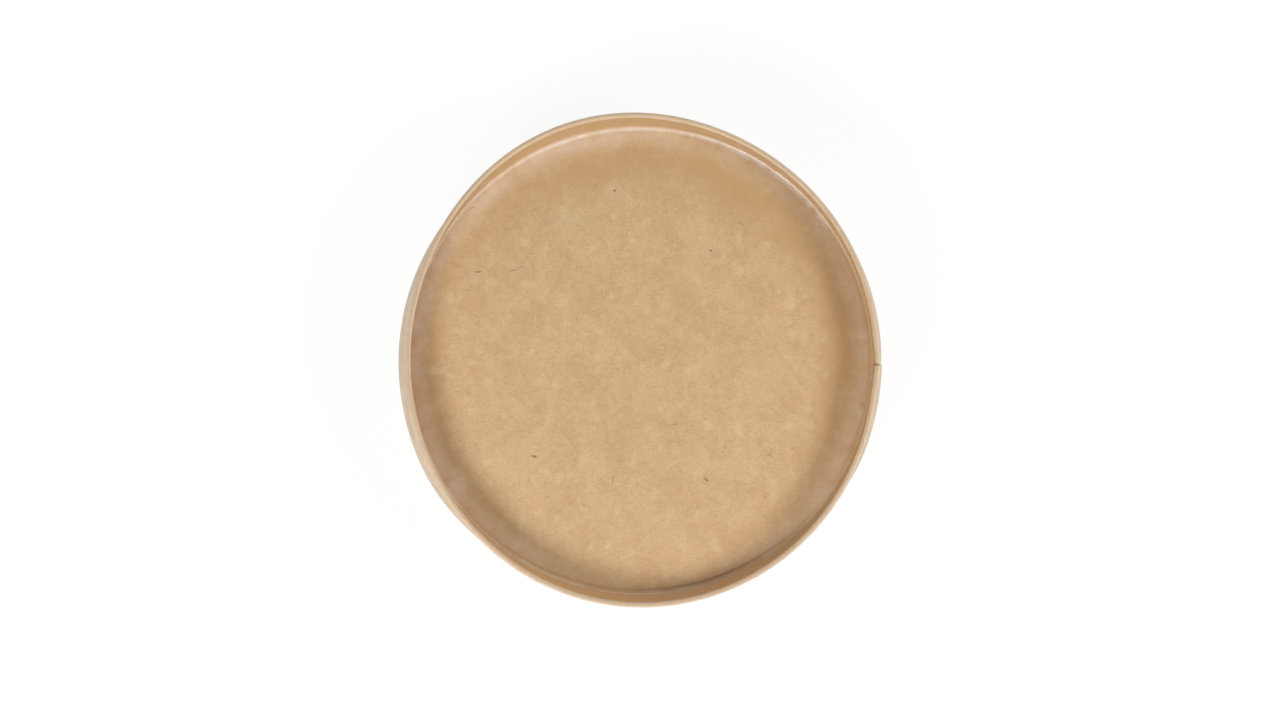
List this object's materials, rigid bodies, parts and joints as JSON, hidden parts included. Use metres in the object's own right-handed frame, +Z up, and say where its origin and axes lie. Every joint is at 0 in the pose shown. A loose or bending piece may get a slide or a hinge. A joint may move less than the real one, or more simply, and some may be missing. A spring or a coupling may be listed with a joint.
{
  "type": "paperboard coffee cup lid",
  "caption": "Round paperboard cup lid, standing top side up: recessed top panel with an upright flange, held by a side band whose upper edge is folded over it.",
  "frame": {"origin": "middle of the lid on the surface it stands on, at the lower edge of the side band", "axes": "+Z up through the recessed top panel, +X towards the side seam, +Y to its left"},
  "size_m": [0.0923, 0.0927, 0.0141],
  "materials": {
    "kraft_top_panel": "satin",
    "kraft_side_band": "satin"
  },
  "bodies": {
    "root": {"top_panel": "kraft_top_panel", "side_band": "kraft_side_band"}
  },
  "joints": []
}
